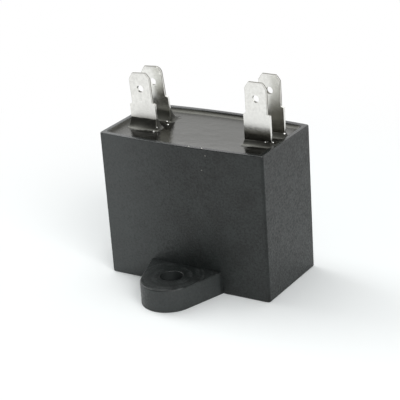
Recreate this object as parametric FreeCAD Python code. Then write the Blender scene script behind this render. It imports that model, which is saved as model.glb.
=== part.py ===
import FreeCAD, Part

import math
import os

# Motor run capacitor: a wound film element potted with resin in a moulded case,
# with a folded double tab at each end. Millimetres, +Z up. The origin is the middle
# of the case's base face, X runs along its long walls, the ear points to -Y.

V = FreeCAD.Vector

# Case, with sizes across its walls taken at the rim
case_length = 50.0
case_width = 25.5
case_height = 41.1
wall = 1.5
floor = 1.5
draft_length = 0.2
draft_width = 0.1
front_bow = 1.1
rear_bow = 1.4
edge_radius = 0.7
inner_edge_radius = 0.8
base_chamfer = 0.45
rim_chamfer = 0.2

# Mounting ear, with its reach taken from the foot of the front wall
ear_offset = -0.4
ear_reach = 16.6
ear_root_width = 22.2
ear_nose_radius = 7.5
ear_height = 6.4
ear_chamfer = 0.3
ear_hole_diameter = 6.0
ear_hole_reach = 7.3

# Film winding, a flattened roll that lies along X with its flat sides upright,
# by the room that it leaves in the case: at each end, at each side, below and above
winding_end_room = 5.0
winding_side_room = 2.75
winding_floor_gap = 1.2
winding_cover = 12.9
spray_thickness = 0.7

# Folded double tab, with heights taken from the rim of the case
blade_width = 6.3
shank_width = 7.9
blade_thickness = 0.8
blade_gap = 6.5
tip_rise = 16.0
shoulder_rise = 7.6
shoulder_slope = 0.35
corner_width = 1.15
corner_height = 1.6
tip_bevel = 0.2
tip_bevel_height = 0.6
detent_hole_diameter = 2.0
detent_hole_rise = 11.6
web_drop = 5.5
fold_radius = 0.8

# Where each double tab stands, with insets taken from the case's ends: the right one
# is true, the left one sank askew into the resin and its rear blade leans to the front one
right_tab_inset = 6.4
right_tab_y = 0.4
left_tab_inset = 7.7
left_tab_y = 1.8
left_tab_sink = 1.9
left_tab_tilt = 3.55
left_tab_yaw = 2.3
left_rear_lean = 3.5
left_rear_corner_radius = 1.9

# Lead wires with their sleeves and solder joints
wire_diameter = 0.9
wire_standoff = 0.1
wire_hole_clearance = 0.5
wire_bend_radius = 2.0
wire_bend_rise = 0.7
wire_tail_length = 1.0
wire_tip_rise = 0.4
sleeve_wall = 0.4
sleeve_end_gap = 0.4
winding_joint_drop = 5.0
winding_joint_radius = 2.0
winding_joint_height = 1.2
tab_joint_radius = 1.5
tab_joint_height = 1.0

# Resin and its menisci, with the level taken from the rim
resin_drop = 1.3
wall_meniscus_rise = 0.95
wall_meniscus_foot = 1.2
wall_meniscus_waist = 0.45
wall_meniscus_waist_rise = 0.35
wall_meniscus_edge = 0.1
right_collar_rise = 1.3
left_collar_rise = 2.1
collar_foot = 1.7
collar_waist = 0.7
collar_lip = 0.15
collar_waist_share = 0.35

# Working allowance by which cutting shapes overrun the faces they cut,
# and the height difference within which an edge counts as level
overrun = 1.0
tolerance = 1e-4

resin_level = case_height - resin_drop
winding_length = case_length - 2 * (wall + winding_end_room)
winding_width = case_width - 2 * (wall + winding_side_room)
winding_base = floor + winding_floor_gap
winding_top = case_height - winding_cover
right_tab_x = case_length / 2 - right_tab_inset
left_tab_x = left_tab_inset - case_length / 2
blade_middle = (blade_gap + blade_thickness) / 2
spray_face = winding_length / 2 + spray_thickness
wire_x = spray_face + wire_standoff + wire_diameter / 2


def edges_at_height(shape, z):
    """Edges of a shape that lie flat at one height."""
    return [e for e in shape.Edges
            if abs(e.BoundBox.ZMin - z) < tolerance and abs(e.BoundBox.ZMax - z) < tolerance]


def upright_edges(shape):
    """Edges of a shape that climb from one level to another."""
    return [e for e in shape.Edges if e.BoundBox.ZLength > tolerance]


def case_section(z, inset):
    """Outline of the case at one height, moved inwards by an inset.

    The short sides are straight. The long sides swell outwards as shallow arcs
    that are flat at the base and reach their full bow at the rim.
    """
    share = z / case_height
    half_length = (case_length - draft_length * (1 - share)) / 2 - inset
    half_width = (case_width - draft_width * (1 - share)) / 2 - inset
    front_left = V(-half_length, -half_width, z)
    front_right = V(half_length, -half_width, z)
    rear_right = V(half_length, half_width, z)
    rear_left = V(-half_length, half_width, z)
    front_middle = V(0, -half_width - front_bow * share, z)
    rear_middle = V(0, half_width + rear_bow * share, z)
    if share == 0:
        front = Part.makeLine(front_left, front_right)
        rear = Part.makeLine(rear_right, rear_left)
    else:
        front = Part.Arc(front_left, front_middle, front_right).toShape()
        rear = Part.Arc(rear_right, rear_middle, rear_left).toShape()
    right = Part.makeLine(front_right, rear_right)
    left = Part.makeLine(rear_left, front_left)
    return Part.Wire([front, right, rear, left])


def case_block(z_low, inset_low, z_high, inset_high, corner_radius):
    """Solid between two heights of the case's outline, with rounded upright edges."""
    sections = [case_section(z_low, inset_low), case_section(z_high, inset_high)]
    block = Part.makeLoft(sections, True, True)
    return block.makeFillet(corner_radius, upright_edges(block))


def cavity():
    """The inside of the case, carried on above the rim as far as the resin climbs."""
    top = resin_level + left_collar_rise + overrun
    return case_block(floor, wall, top, wall, inner_edge_radius)


def front_foot_y():
    """Y of the front wall's outer face at the base."""
    return -(case_width - draft_width) / 2


def ear():
    """Teardrop ear: straight flanks that run tangent into a round nose."""
    root_y = front_foot_y()
    nose = V(ear_offset, root_y - ear_reach + ear_nose_radius, 0)
    half_root = ear_root_width / 2
    root = V(ear_offset + half_root, root_y, 0)
    reach = root.distanceToPoint(nose)
    flank_length = math.sqrt(reach ** 2 - ear_nose_radius ** 2)
    flank_turn = math.asin(ear_nose_radius / reach)
    heading = math.atan2(nose.y - root.y, nose.x - root.x) + flank_turn
    touch_right = root + V(math.cos(heading), math.sin(heading), 0) * flank_length
    touch_left = V(2 * ear_offset - touch_right.x, touch_right.y, 0)
    root_left = V(ear_offset - half_root, root_y, 0)
    tip = V(nose.x, nose.y - ear_nose_radius, 0)
    buried_right = root + (root - touch_right).normalize() * (wall / 2)
    buried_left = root_left + (root_left - touch_left).normalize() * (wall / 2)
    outline = Part.Wire([
        Part.makeLine(buried_right, touch_right),
        Part.Arc(touch_right, tip, touch_left).toShape(),
        Part.makeLine(touch_left, buried_left),
        Part.makeLine(buried_left, buried_right),
    ])
    body = Part.Face(outline).extrude(V(0, 0, ear_height))
    rim = [e for e in edges_at_height(body, ear_height) if e.BoundBox.YMin < root_y - wall]
    return body.makeChamfer(ear_chamfer, rim)


def ear_hole():
    """Cutter for the screw hole through the ear."""
    base = V(ear_offset, front_foot_y() - ear_hole_reach, -overrun)
    return Part.makeCylinder(ear_hole_diameter / 2, ear_height + 2 * overrun, base)


def case():
    """The moulded case: a bowed, drafted open box with its ear at the foot of the front."""
    block = case_block(0, 0, case_height, 0, edge_radius)
    block = block.makeChamfer(base_chamfer, edges_at_height(block, 0))
    block = block.makeChamfer(rim_chamfer, edges_at_height(block, case_height))
    shell = block.cut(cavity())
    return shell.fuse(ear()).cut(ear_hole()).removeSplitter()


def winding_section(x):
    """Outline of the flattened roll at one place along X: flat sides, round top and base."""
    radius = winding_width / 2
    low = winding_base + radius
    high = winding_top - radius
    return Part.Wire([
        Part.makeLine(V(x, -radius, high), V(x, -radius, low)),
        Part.Arc(V(x, -radius, low), V(x, 0, winding_base), V(x, radius, low)).toShape(),
        Part.makeLine(V(x, radius, low), V(x, radius, high)),
        Part.Arc(V(x, radius, high), V(x, 0, winding_top), V(x, -radius, high)).toShape(),
    ])


def film_winding():
    """The flattened roll of metallised film."""
    return Part.Face(winding_section(-winding_length / 2)).extrude(V(winding_length, 0, 0))


def end_spray(side):
    """Sprayed metal layer on one end of the roll."""
    section = Part.Face(winding_section(side * winding_length / 2))
    return section.extrude(V(side * spray_thickness, 0, 0))


def tab_placement(x, y, sink, tilt, yaw):
    """Place of a double tab: its own origin is at the rim's height, midway between its blades."""
    turn = FreeCAD.Rotation(V(0, 0, 1), yaw) * FreeCAD.Rotation(V(0, 1, 0), -tilt)
    return FreeCAD.Placement(V(x, y, case_height - sink), turn)


def blade_leg(side, lean):
    """Side view of one blade from its foot to its bevelled tip and back, as (y, z) points.

    A blade that leans starts to do so at the rim's height and goes towards the other one.
    """
    angle = math.radians(lean)
    half = blade_thickness / 2
    top_y = -side * math.sin(angle)
    top_z = math.cos(angle)

    def at(height, across):
        """Point at a height along the blade and a distance outwards from its middle."""
        y = side * blade_middle + top_y * height + side * across * top_z
        z = top_z * height + across * math.sin(angle)
        return (y, z)

    foot = -web_drop
    bevel_start = tip_rise - tip_bevel_height
    return [
        (side * (blade_middle + half), foot),
        (side * (blade_middle + half), 0.0),
        at(bevel_start, half),
        at(tip_rise, half - tip_bevel),
        at(tip_rise, tip_bevel - half),
        at(bevel_start, -half),
        (side * (blade_middle - half), 0.0),
        (side * (blade_middle - half), foot + blade_thickness),
    ]


def long_edges_at(strip, z):
    """Edges of the strip that run its whole width at one height."""
    return [e for e in edges_at_height(strip, z) if e.BoundBox.XLength > shank_width / 2]


def folded_strip(rear_lean):
    """The strip folded to a U, seen along X and as wide as the shank."""
    front = blade_leg(-1, 0.0)
    rear = blade_leg(1, rear_lean)
    outline = front + rear[::-1]
    x = -shank_width / 2
    strip = Part.Face(Part.makePolygon([V(x, y, z) for y, z in outline + outline[:1]]))
    strip = strip.extrude(V(shank_width, 0, 0))
    strip = strip.makeFillet(fold_radius + blade_thickness, long_edges_at(strip, -web_drop))
    return strip.makeFillet(fold_radius, long_edges_at(strip, blade_thickness - web_drop))


def blade_front(corner_radius):
    """Front view of a blade as a closed wire: shank, sloping shoulders and cut corners.

    With a corner radius, the top corner at +X is worn round instead of cut.
    """
    half = blade_width / 2
    half_shank = shank_width / 2
    low = -web_drop - overrun
    high = tip_rise + overrun
    slope = corner_width / corner_height
    left = [
        V(-half + corner_width + slope * overrun, 0, high),
        V(-half, 0, tip_rise - corner_height),
        V(-half, 0, shoulder_rise),
        V(-half_shank, 0, shoulder_rise - shoulder_slope),
        V(-half_shank, 0, low),
    ]
    right = [V(-p.x, 0, p.z) for p in left[::-1]]
    if corner_radius == 0:
        return Part.makePolygon(left + right + [left[0]])
    turn = corner_radius * (1 - math.sqrt(0.5))
    round_start = V(half, 0, tip_rise - corner_radius)
    round_middle = V(half - turn, 0, tip_rise - turn)
    round_end = V(half - corner_radius, 0, tip_rise)
    above = V(round_end.x, 0, high)
    sides = Part.makePolygon(left + right[:3] + [round_start]).Edges
    corner = [
        Part.Arc(round_start, round_middle, round_end).toShape(),
        Part.makeLine(round_end, above),
        Part.makeLine(above, left[0]),
    ]
    return Part.Wire(sides + corner)


def double_tab(placement, rear_lean, rear_corner_radius):
    """Two quick-connect blades and the web that joins them, folded from one strip."""
    reach = blade_middle + blade_thickness + overrun
    front_half = Part.Face(blade_front(0)).extrude(V(0, -reach, 0))
    rear_half = Part.Face(blade_front(rear_corner_radius)).extrude(V(0, reach, 0))
    strip = folded_strip(rear_lean).common(front_half.fuse(rear_half))
    detent = Part.makeCylinder(
        detent_hole_diameter / 2, 2 * reach, V(0, -reach, detent_hole_rise), V(0, 1, 0))
    wire_hole = Part.makeCylinder(
        wire_diameter / 2 + wire_hole_clearance, blade_thickness + 2 * overrun,
        V(0, 0, -web_drop - overrun))
    tab = strip.cut([detent, wire_hole]).removeSplitter()
    tab.Placement = placement
    return tab


def bent_path(points, radius):
    """Wire through the points, with a tangent arc of one radius at each bend."""
    edges = []
    start = points[0]
    for before, corner, after in zip(points, points[1:], points[2:]):
        come = (corner - before).normalize()
        go = (after - corner).normalize()
        turn = come.getAngle(go)
        setback = radius * math.tan(turn / 2)
        arc_start = corner - come * setback
        arc_end = corner + go * setback
        inward = (go - come).normalize()
        apex = corner + inward * radius * (1 / math.cos(turn / 2) - 1)
        edges.append(Part.makeLine(start, arc_start))
        edges.append(Part.Arc(arc_start, apex, arc_end).toShape())
        start = arc_end
    edges.append(Part.makeLine(start, points[-1]))
    return Part.Wire(edges)


def rod_along(points, diameter):
    """Round rod swept along a bent path."""
    heading = (points[1] - points[0]).normalize()
    rim = Part.Wire([Part.makeCircle(diameter / 2, points[0], heading)])
    return bent_path(points, wire_bend_radius).makePipeShell([rim], True, True)


def lead_run(side, placement):
    """Bend of a lead above the winding's end, and the middle of the hole that it runs up to."""
    web_hole = placement.multVec(V(0, 0, blade_thickness / 2 - web_drop))
    bend = V(side * wire_x, web_hole.y, winding_top + wire_bend_rise)
    return bend, web_hole


def lead(side, placement):
    """Wire that lies on the end spray, then slants up through the hole in the web."""
    bend, web_hole = lead_run(side, placement)
    tail = V(bend.x, bend.y, winding_top - winding_joint_drop - wire_tail_length)
    slant = (web_hole - bend).normalize()
    tip = web_hole + slant * (blade_thickness / 2 + wire_tip_rise)
    return rod_along([tail, bend, tip], wire_diameter)


def lead_sleeve(side, placement, wire):
    """Insulation on the slanting run of the lead, clear of its bend and of the web."""
    bend, web_hole = lead_run(side, placement)
    slant = (web_hole - bend).normalize()
    turn = slant.getAngle(V(0, 0, 1))
    radius = wire_diameter / 2 + sleeve_wall
    foot = bend + slant * (wire_bend_radius * math.tan(turn / 2))
    web_clearance = blade_thickness / 2 + radius * math.tan(turn) + sleeve_end_gap
    length = foot.distanceToPoint(web_hole) - web_clearance
    return Part.makeCylinder(radius, length, foot, slant).cut(wire)


def winding_solder(side, placement, wire):
    """Solder joint over the lead's tail: a flat round pad on the end spray."""
    bend = lead_run(side, placement)[0]
    middle = V(side * spray_face, bend.y, winding_top - winding_joint_drop)
    pad = Part.makeCylinder(winding_joint_radius, winding_joint_height, middle, V(side, 0, 0))
    return pad.cut(wire)


def tab_solder(placement, wire):
    """Solder joint on the web: a pad over the wire's tip that also fills the web hole."""
    web_top = blade_thickness - web_drop
    pad = Part.makeCylinder(tab_joint_radius, tab_joint_height, V(0, 0, web_top))
    plug = Part.makeCylinder(
        wire_diameter / 2 + wire_hole_clearance, blade_thickness, V(0, 0, -web_drop))
    joint = pad.fuse(plug).removeSplitter()
    joint.Placement = placement
    return joint.cut(wire)


def collar_section(margin, height):
    """Round-ended outline about the shank of a blade, wider than it by a margin."""
    end_radius = blade_thickness / 2 + margin
    reach = shank_width / 2 + margin
    straight = reach - end_radius
    return Part.Wire([
        Part.makeLine(V(-straight, -end_radius, height), V(straight, -end_radius, height)),
        Part.Arc(V(straight, -end_radius, height), V(reach, 0, height),
                 V(straight, end_radius, height)).toShape(),
        Part.makeLine(V(straight, end_radius, height), V(-straight, end_radius, height)),
        Part.Arc(V(-straight, end_radius, height), V(-reach, 0, height),
                 V(-straight, -end_radius, height)).toShape(),
    ])


def resin_collar(tab_x, tab_y, yaw, side, rise):
    """Meniscus that climbs one blade: a round-ended mound with hollow flanks."""
    buried = collar_section(collar_foot, -collar_foot)
    foot = collar_section(collar_foot, 0)
    waist = collar_section(collar_waist, rise * collar_waist_share)
    lip = collar_section(collar_lip, rise)
    mound = Part.makeLoft([buried, foot, waist, lip], True, True)
    turn = FreeCAD.Rotation(V(0, 0, 1), yaw)
    blade = turn.multVec(V(0, side * blade_middle, 0))
    mound.Placement = FreeCAD.Placement(V(tab_x, tab_y, resin_level) + blade, turn)
    return mound


def meniscus_pocket():
    """Space inside the wall meniscus, which climbs the walls in a flat and a steep slope."""
    top = resin_level + wall_meniscus_rise
    waist_share = wall_meniscus_waist_rise / wall_meniscus_rise
    flat_reach = (wall_meniscus_foot - wall_meniscus_waist) / waist_share
    steep_reach = (wall_meniscus_waist - wall_meniscus_edge) / (1 - waist_share)
    corner_radius = inner_edge_radius + wall_meniscus_foot
    flat = case_block(resin_level, wall + wall_meniscus_foot,
                      top, wall + wall_meniscus_foot - flat_reach, corner_radius)
    steep = case_block(resin_level, wall + wall_meniscus_edge + steep_reach,
                       top, wall + wall_meniscus_edge, corner_radius)
    return flat.common(steep)


def potting_resin(embedded):
    """Resin cast round everything in the case, with menisci at the walls and the blades."""
    above = Part.makeBox(
        case_length, 2 * case_width, case_height,
        V(-case_length / 2, -case_width, resin_level + wall_meniscus_rise))
    collars = []
    for side in (-1, 1):
        collars.append(resin_collar(right_tab_x, right_tab_y, 0.0, side, right_collar_rise))
        collars.append(resin_collar(left_tab_x, left_tab_y, left_tab_yaw, side, left_collar_rise))
    empty = above.fuse(meniscus_pocket()).cut(collars)
    return cavity().cut(empty).cut(embedded)


def build():
    """Every piece of the capacitor by its node name."""
    left_place = tab_placement(left_tab_x, left_tab_y, left_tab_sink, left_tab_tilt, left_tab_yaw)
    right_place = tab_placement(right_tab_x, right_tab_y, 0.0, 0.0, 0.0)
    pieces = {"film_winding": film_winding()}
    pieces["double_tab_left"] = double_tab(left_place, left_rear_lean, left_rear_corner_radius)
    pieces["double_tab_right"] = double_tab(right_place, 0.0, 0.0)
    for name, side, placement in (("left", -1, left_place), ("right", 1, right_place)):
        wire = lead(side, placement)
        pieces["end_spray_" + name] = end_spray(side)
        pieces["lead_" + name] = wire
        pieces["lead_sleeve_" + name] = lead_sleeve(side, placement, wire)
        pieces["winding_solder_" + name] = winding_solder(side, placement, wire)
        pieces["tab_solder_" + name] = tab_solder(placement, wire)
    pieces["potting_resin"] = potting_resin(list(pieces.values()))
    pieces["case"] = case()
    return pieces


def main():
    """Write one file for each piece."""
    os.makedirs("parts", exist_ok=True)
    for name, shape in build().items():
        solids = shape.Solids
        piece = solids[0] if len(solids) == 1 else Part.makeCompound(solids)
        piece.exportStep("parts/" + name + ".step")
        print(name, len(solids), "solid,", round(piece.Volume, 2), "mm3, valid", piece.isValid())


main()
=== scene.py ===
import math
from collections import namedtuple

import bmesh
import bpy
from mathutils import Matrix, Vector


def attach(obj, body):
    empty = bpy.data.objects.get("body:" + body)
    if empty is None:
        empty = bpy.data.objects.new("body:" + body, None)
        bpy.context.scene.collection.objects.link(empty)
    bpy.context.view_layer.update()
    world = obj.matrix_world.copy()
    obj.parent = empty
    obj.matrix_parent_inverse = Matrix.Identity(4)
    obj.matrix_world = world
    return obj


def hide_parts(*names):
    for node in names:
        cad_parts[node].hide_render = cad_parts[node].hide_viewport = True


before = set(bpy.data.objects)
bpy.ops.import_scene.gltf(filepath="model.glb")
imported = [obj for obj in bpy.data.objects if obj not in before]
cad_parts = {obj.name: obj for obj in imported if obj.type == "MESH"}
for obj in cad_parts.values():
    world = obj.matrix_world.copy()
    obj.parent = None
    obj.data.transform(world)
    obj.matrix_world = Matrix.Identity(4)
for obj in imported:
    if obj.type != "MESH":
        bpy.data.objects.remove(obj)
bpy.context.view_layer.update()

# A potted motor run capacitor. Shapes are worked out in millimetres in the frame of the
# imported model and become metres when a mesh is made.
MM = 0.001

# Case
CASE_LENGTH = 50.0
CASE_WIDTH = 25.5
CASE_HEIGHT = 41.1
WALL = 1.5
FLOOR = 1.5
DRAFT_LENGTH = 0.2
DRAFT_WIDTH = 0.1
EDGE_RADIUS = 0.7
INNER_EDGE_RADIUS = 0.8
BASE_ROUNDING = 0.4
RIM_ROUNDING = 0.28
RIM_INNER_ROUNDING = 0.35
FRONT_FOOT_Y = -(CASE_WIDTH - DRAFT_WIDTH) / 2
# How far the long walls bow out at the rim: the front one at side -1, the rear one at side 1
BOW = {-1: 1.1, 1: 1.4}

# Mounting ear
EAR_OFFSET = -0.4
EAR_REACH = 16.6
EAR_ROOT_WIDTH = 22.2
EAR_NOSE_RADIUS = 7.5
EAR_HEIGHT = 6.4
EAR_TOP_ROUNDING = 0.4
EAR_BASE_ROUNDING = 0.15
EAR_HOLE_RADIUS = 3.0
EAR_HOLE_REACH = 7.3
EAR_HOLE_ROUNDING = 0.25
EAR_HOLE_Y = FRONT_FOOT_Y - EAR_HOLE_REACH

# Double tabs, with heights taken from the rim of the case
BLADE_WIDTH = 6.3
SHANK_WIDTH = 7.9
BLADE_THICKNESS = 0.8
BLADE_GAP = 6.5
TIP_RISE = 16.0
SHOULDER_RISE = 7.6
SHOULDER_SLOPE = 0.35
CORNER_WIDTH = 1.15
CORNER_HEIGHT = 1.6
TIP_BEVEL = 0.12
TIP_BEVEL_HEIGHT = 0.6
DETENT_RADIUS = 1.0
DETENT_RISE = 11.6
WEB_DROP = 5.5
FOLD_RADIUS = 0.8
WIRE_HOLE_RADIUS = 0.95
STRIP_EDGE_RADIUS = 0.07
BLADE_MIDDLE = (BLADE_GAP + BLADE_THICKNESS) / 2
FOOT_BEND_LOW = 2.4
FOOT_BEND_HIGH = 8.0

# Shares of a face's normal along one axis: over the first the face lies square to it, and
# over the second it is part of the strip's rounded corners
SQUARE_ON = 0.97
ROUNDED_FROM = 0.2

# Where each double tab stands, how deep it sank, its turns in degrees, the lean of its rear
# blade and that blade's worn corner, the forward bend at its front blade's foot, and the
# collar of resin that climbs each blade
Tab = namedtuple("Tab", "x y sink tilt yaw lean worn_radius bend collar_rise collar_reach")
RIGHT_TAB = Tab(x=18.6, y=0.4, sink=0.0, tilt=0.0, yaw=0.0, lean=0.0, worn_radius=0.0,
                bend=0.0, collar_rise=1.6, collar_reach=3.9)
LEFT_TAB = Tab(x=-17.3, y=1.8, sink=1.9, tilt=3.55, yaw=2.3, lean=3.5, worn_radius=1.9,
               bend=0.38, collar_rise=2.9, collar_reach=5.2)

# Resin. At a wall it climbs by a hook, a ramp and a toe, where hook and toe each have a
# height and the length over which they die away.
RESIN_LEVEL = CASE_HEIGHT - 1.3
RESIN_STEP = 0.18
WALL_HOOK = (0.15, 0.12)
WALL_RAMP_SLOPE = 0.56
WALL_RAMP_LENGTH = 0.95
WALL_RAMP_SOFTNESS = 0.2
WALL_TOE = (0.36, 2.8)
LEFT_END_TOE = (0.6, 3.0)
WALL_CLIMB_LIMIT = 1.22
COLLAR_POWER = 3.8
COLLAR_END_SQUEEZE = 2.6
COLLAR_CORNER_SQUEEZE = 0.35

# Burst bubbles in the resin: x, y, radius of the ring and height of its lip. The lip is as
# wide as a share of the radius and a least width.
BUBBLES = (
    (-13.1, 7.6, 0.75, 0.10),
    (-12.45, -2.8, 0.6, 0.10),
    (-14.96, -1.68, 0.25, 0.12),
    (-14.27, -0.99, 0.2, 0.10),
    (-15.64, 6.2, 0.25, 0.12),
    (-13.69, 3.91, 0.22, 0.10),
)
BUBBLE_LIP_SHARE = 0.35
BUBBLE_LIP_WIDTH = 0.06

# Crumbs on the case: x, z and half width. A crumb has five outer corners, given in half
# widths to the right and up, and its own depth in half widths to the front and rear.
CRUMBS = (
    (8.58, 39.33, 0.10),
    (7.19, 35.12, 0.09),
    (3.55, 41.12, 0.17),
    (7.44, 41.12, 0.21),
)
CRUMB_CORNERS = ((1, 0), (0.3, 0.9), (-0.8, 0.6), (-0.9, -0.5), (0.2, -1.0))
CRUMB_DEPTH = 0.7

# Painted highlights, as bright metal beads on the resin at the blades' feet: x, y, radius
BEADS = (
    (-13.04, -4.46, 0.26),
    (-12.83, -3.09, 0.22),
    (-13.71, 3.34, 0.26),
    (-12.55, 1.97, 0.24),
    (20.89, -3.75, 0.20),
    (21.57, -3.49, 0.20),
    (22.64, -2.86, 0.28),
    (22.52, 3.57, 0.34),
)

# Camera, fitted to the photograph: angles in degrees, lengths in millimetres from the
# middle of the case
CAMERA_AZIMUTH = 32.93
CAMERA_ELEVATION = 22.384
CAMERA_ROLL = -4.095
CAMERA_DISTANCE = 410.62
CAMERA_SHIFT = (-2.314, -0.118)
CAMERA_LENS = 136.33
SENSOR_WIDTH = 36.0

# Softboxes: place, target, width and height, all in metres, and radiance
SOFTBOXES = {
    "overhead_softbox": ((-0.16, 0.10, 0.62), (-0.16, 0.10, 0), (0.62, 0.38), 2.45),
    "left_softbox": ((-0.62, 0.10, 0.50), (0, 0, 0.02), (0.36, 0.36), 4.2),
    "right_front_fill": ((0.42, -0.34, 0.34), (0, -0.02, 0.02), (0.42, 0.42), 4.9),
}
AMBIENT = 0.33

# Paper sweep: half its width in metres, the distances in millimetres between which it fades
# to plain white, and the places along X between which it comes to glow in mirrors
PAPER_REACH = 3.0
PAPER_FADE = (48, 165)
PAPER_GLOW_X = (-30, -95)
PAPER_GLOW = 0.3

# Sockets of a mix node, which go by number: for values first, then for colours
MIX_FACTOR, MIX_A, MIX_B = 0, 2, 3
MIX_COLOUR_A, MIX_COLOUR_B, MIX_COLOUR = 6, 7, 2


def linear(hex_colour):
    """Linear colour with alpha from an sRGB hex value."""
    channels = [int(hex_colour[i:i + 2], 16) / 255 for i in (1, 3, 5)]
    return [c / 12.92 if c <= 0.04045 else ((c + 0.055) / 1.055) ** 2.4
            for c in channels] + [1.0]


def per_metre(size_mm):
    """Texture scale at which one feature of a pattern is that many millimetres across."""
    return 1 / (size_mm * MM)


def add_node(tree, kind, links=None, stops=(), **settings):
    """Adds one node with its settings.

    Its links name its inputs, each with a value, another node's output, or a node for its
    first output. Its stops are the positions and colours of a colour ramp.
    """
    made = tree.nodes.new(kind)
    for name, value in settings.items():
        setattr(made, name, value)
    for name, value in (links or {}).items():
        if isinstance(value, bpy.types.Node):
            value = value.outputs[0]
        if isinstance(value, bpy.types.NodeSocket):
            tree.links.new(value, made.inputs[name])
        else:
            made.inputs[name].default_value = value
    for k, (position, colour) in enumerate(stops):
        made.color_ramp.elements[k].position = position
        made.color_ramp.elements[k].color = linear(colour)
    return made


def new_material(name):
    """A material, its node tree, and the point in metres on the piece."""
    material = bpy.data.materials.new(name)
    material.use_nodes = True
    tree = material.node_tree
    tree.nodes.clear()
    place = add_node(tree, "ShaderNodeTexCoord").outputs["Object"]
    return material, tree, place


def plain_material(name, colour, pattern_size, roughness, detail=2.0, **shader_values):
    """A material of one colour whose roughness follows a noise of a size in millimetres."""
    material, tree, place = new_material(name)
    skin = add_node(tree, "ShaderNodeTexNoise", {
        "Vector": place, "Scale": per_metre(pattern_size), "Detail": detail})
    polish = add_node(tree, "ShaderNodeMapRange", {
        "Value": skin, "To Min": roughness[0], "To Max": roughness[1]})
    shader = add_node(tree, "ShaderNodeBsdfPrincipled", {
        "Base Color": linear(colour), "Roughness": polish, **shader_values})
    add_node(tree, "ShaderNodeOutputMaterial", {"Surface": shader})
    return material


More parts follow.
